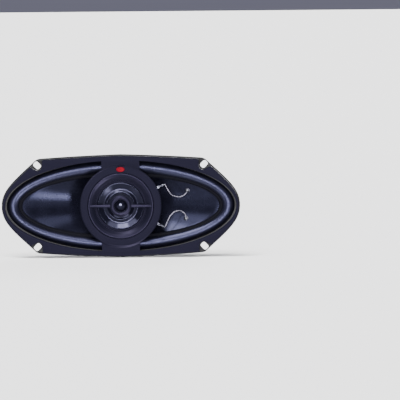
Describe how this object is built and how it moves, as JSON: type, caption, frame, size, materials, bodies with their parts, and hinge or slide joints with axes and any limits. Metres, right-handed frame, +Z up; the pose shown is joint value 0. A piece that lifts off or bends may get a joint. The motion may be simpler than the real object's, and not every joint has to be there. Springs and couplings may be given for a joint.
{
  "type": "coaxial car speaker",
  "caption": "Oval car speaker with a glossy tweeter on a moulded bridge over a smooth cone, rolled surround, slotted flange corners and a rear magnet motor.",
  "frame": {"origin": "centre of the flange's rear face, on the speaker's axis", "axes": "+X along the long side to the right as seen from the front, +Y to the rear (the speaker faces -Y), +Z up"},
  "size_m": [0.2624, 0.0747, 0.1132],
  "materials": {
    "black_steel": "semi-gloss black coat on pressed steel",
    "blue_black_plastic": "moulded, satin",
    "red_enamel": "gloss",
    "card": "matt card",
    "foam": "fine-grained roll",
    "cone_film": "semi-gloss moulded cone",
    "coil_former": "resin-coated cloth",
    "copper": "enamelled copper wire",
    "spider_cloth": "resin-dipped cloth",
    "zinc_steel": "zinc plated",
    "ferrite": "matt, ground",
    "tweeter_film": "high gloss",
    "capacitor_sleeve": "gloss sleeve",
    "brass": "tinned brass",
    "tinsel": "braided tinsel wire",
    "board": "phenolic paper board"
  },
  "bodies": {
    "frame": {"basket": "black_steel", "trim_bridge": "blue_black_plastic", "badge": "red_enamel", "surround_gasket": "card", "surround": "foam", "spider": "spider_cloth", "motor_top_plate": "zinc_steel", "motor_magnet": "ferrite", "motor_yoke": "zinc_steel", "seat_rivet_1": "zinc_steel", "seat_rivet_2": "zinc_steel", "seat_rivet_3": "zinc_steel", "seat_rivet_4": "zinc_steel", "tweeter_guard": "blue_black_plastic", "tweeter_housing": "blue_black_plastic", "tweeter_clamp_ring": "blue_black_plastic", "tweeter_chassis": "blue_black_plastic", "tweeter_top_plate": "zinc_steel", "tweeter_magnet": "ferrite", "tweeter_yoke": "zinc_steel", "tweeter_capacitor": "capacitor_sleeve", "pod_lug_upper": "zinc_steel", "pod_lug_lower": "zinc_steel", "tweeter_lead_upper": "tinsel", "tweeter_lead_lower": "tinsel", "woofer_lead_upper": "tinsel", "woofer_lead_lower": "tinsel", "terminal_board": "board", "terminal_positive": "brass", "terminal_negative": "brass", "terminal_rivet": "zinc_steel"},
    "cone": {"woofer_cone": "cone_film", "dust_cap": "cone_film", "voice_coil_former": "coil_former", "voice_coil_winding": "copper", "cone_eyelet_upper": "brass", "cone_eyelet_lower": "brass"},
    "tweeter_dome": {"tweeter_diaphragm": "tweeter_film", "tweeter_voice_coil": "copper"}
  },
  "joints": [
    {"name": "woofer_travel", "type": "slide", "parent": "frame", "child": "cone", "axis": [0, -1, 0], "range_m": [-0.0035, 0.0035], "stiffness_N_per_m": 1500, "deforming": ["surround", "spider", "tweeter_lead_upper", "tweeter_lead_lower", "woofer_lead_upper", "woofer_lead_lower"]},
    {"name": "tweeter_travel", "type": "slide", "parent": "frame", "child": "tweeter_dome", "axis": [0, -1, 0], "range_m": [-0.00025, 0.00025], "stiffness_N_per_m": 1500}
  ]
}
